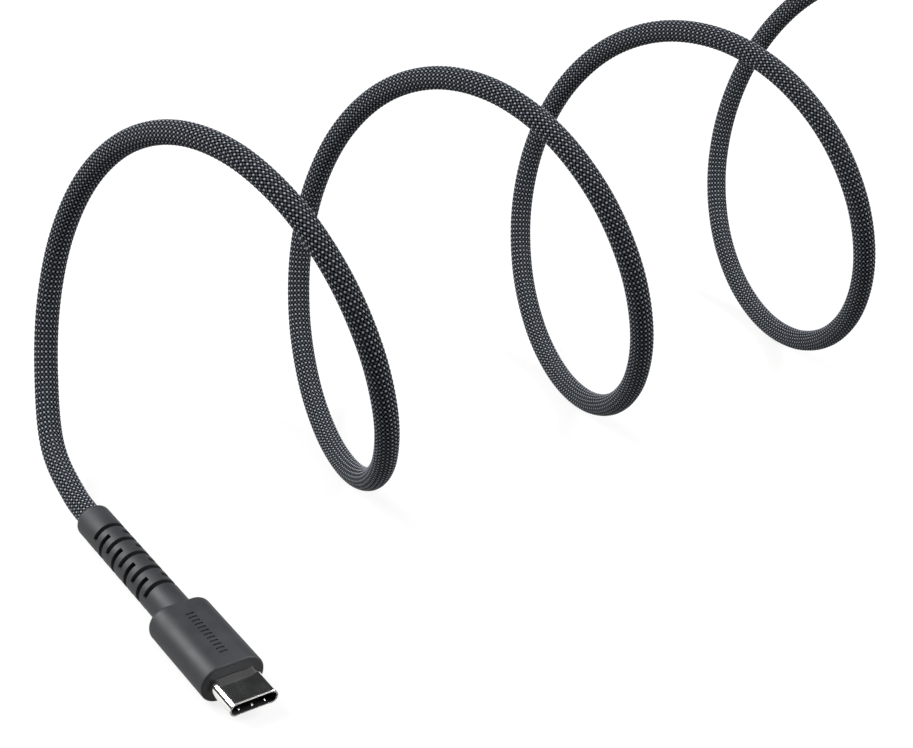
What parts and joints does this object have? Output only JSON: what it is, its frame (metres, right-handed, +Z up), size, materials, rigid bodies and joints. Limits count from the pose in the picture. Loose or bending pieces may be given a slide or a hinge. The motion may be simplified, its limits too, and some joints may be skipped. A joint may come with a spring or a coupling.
{
  "type": "charging cable",
  "caption": "Braided charging cable with slim oval plugs, slotted strain-relief boots and a cord that stands in open loops and ends in a small tied coil.",
  "frame": {"origin": "on the resting plane, under the middle of the near plug and its boot", "axes": "+X the way the near plug is pushed in, +Y across the plug and along the row of loops, +Z up"},
  "size_m": [0.1237, 0.275, 0.0773],
  "materials": {
    "plug_shell": "polished, nickel-plated",
    "contact_resin": "moulded",
    "spring_steel": "stamped",
    "circuit_board": "solder mask",
    "inner_mould": "moulded",
    "soft_grip": "satin moulded",
    "power_wire": "extruded",
    "ground_wire": "extruded",
    "sense_wire": "extruded",
    "data_plus_wire": "extruded",
    "data_minus_wire": "extruded",
    "gold_contact": "gold-plated",
    "braid": "braided polyester yarn",
    "strap": "woven hook-and-loop"
  },
  "bodies": {
    "root": {"near_plug_shell": "plug_shell", "near_contact_housing": "contact_resin", "near_upper_ground_spring": "spring_steel", "near_lower_ground_spring": "spring_steel", "near_circuit_board": "circuit_board", "near_shield_can": "spring_steel", "near_inner_mould": "inner_mould", "near_grip": "soft_grip", "near_strain_relief_boot": "soft_grip", "near_crimp_ferrule": "spring_steel", "near_power_wire": "power_wire", "near_ground_wire": "ground_wire", "near_sense_wire": "sense_wire", "near_data_plus_wire": "data_plus_wire", "near_data_minus_wire": "data_minus_wire", "near_contact_a1": "gold_contact", "near_contact_a4": "gold_contact", "near_contact_a5": "gold_contact", "near_contact_a6": "gold_contact", "near_contact_a7": "gold_contact", "near_contact_a9": "gold_contact", "near_contact_a12": "gold_contact", "near_contact_b12": "gold_contact", "near_contact_b9": "gold_contact", "near_contact_b4": "gold_contact", "near_contact_b1": "gold_contact", "far_plug_shell": "plug_shell", "far_contact_housing": "contact_resin", "far_upper_ground_spring": "spring_steel", "far_lower_ground_spring": "spring_steel", "far_circuit_board": "circuit_board", "far_shield_can": "spring_steel", "far_inner_mould": "inner_mould", "far_grip": "soft_grip", "far_strain_relief_boot": "soft_grip", "far_crimp_ferrule": "spring_steel", "far_power_wire": "power_wire", "far_ground_wire": "ground_wire", "far_sense_wire": "sense_wire", "far_data_plus_wire": "data_plus_wire", "far_data_minus_wire": "data_minus_wire", "far_contact_a1": "gold_contact", "far_contact_a4": "gold_contact", "far_contact_a5": "gold_contact", "far_contact_a6": "gold_contact", "far_contact_a7": "gold_contact", "far_contact_a9": "gold_contact", "far_contact_a12": "gold_contact", "far_contact_b12": "gold_contact", "far_contact_b9": "gold_contact", "far_contact_b4": "gold_contact", "far_contact_b1": "gold_contact", "cord_loops": "braid", "cord_tail": "braid", "cord_coil": "braid", "coil_tie": "strap"},
    "near_left_latch": {"near_left_latch": "spring_steel"},
    "near_right_latch": {"near_right_latch": "spring_steel"},
    "far_left_latch": {"far_left_latch": "spring_steel"},
    "far_right_latch": {"far_right_latch": "spring_steel"}
  },
  "joints": [
    {"name": "near_left_latch_flex", "type": "hinge", "parent": "root", "child": "near_left_latch", "pos_m": [0.018, 0.00343, 0.0032], "axis": [0, 0, 1], "range_deg": [0, 1.5], "stiffness_Nm_per_rad": 0.02},
    {"name": "near_right_latch_flex", "type": "hinge", "parent": "root", "child": "near_right_latch", "pos_m": [0.018, -0.00343, 0.0032], "axis": [0, 0, -1], "range_deg": [0, 1.5], "stiffness_Nm_per_rad": 0.02},
    {"name": "far_left_latch_flex", "type": "hinge", "parent": "root", "child": "far_left_latch", "pos_m": [0.04982, 0.26027, 0.0032], "axis": [0, 0, 1], "range_deg": [0, 1.5], "stiffness_Nm_per_rad": 0.02},
    {"name": "far_right_latch_flex", "type": "hinge", "parent": "root", "child": "far_right_latch", "pos_m": [0.04839, 0.25356, 0.0032], "axis": [0, 0, -1], "range_deg": [0, 1.5], "stiffness_Nm_per_rad": 0.02}
  ]
}
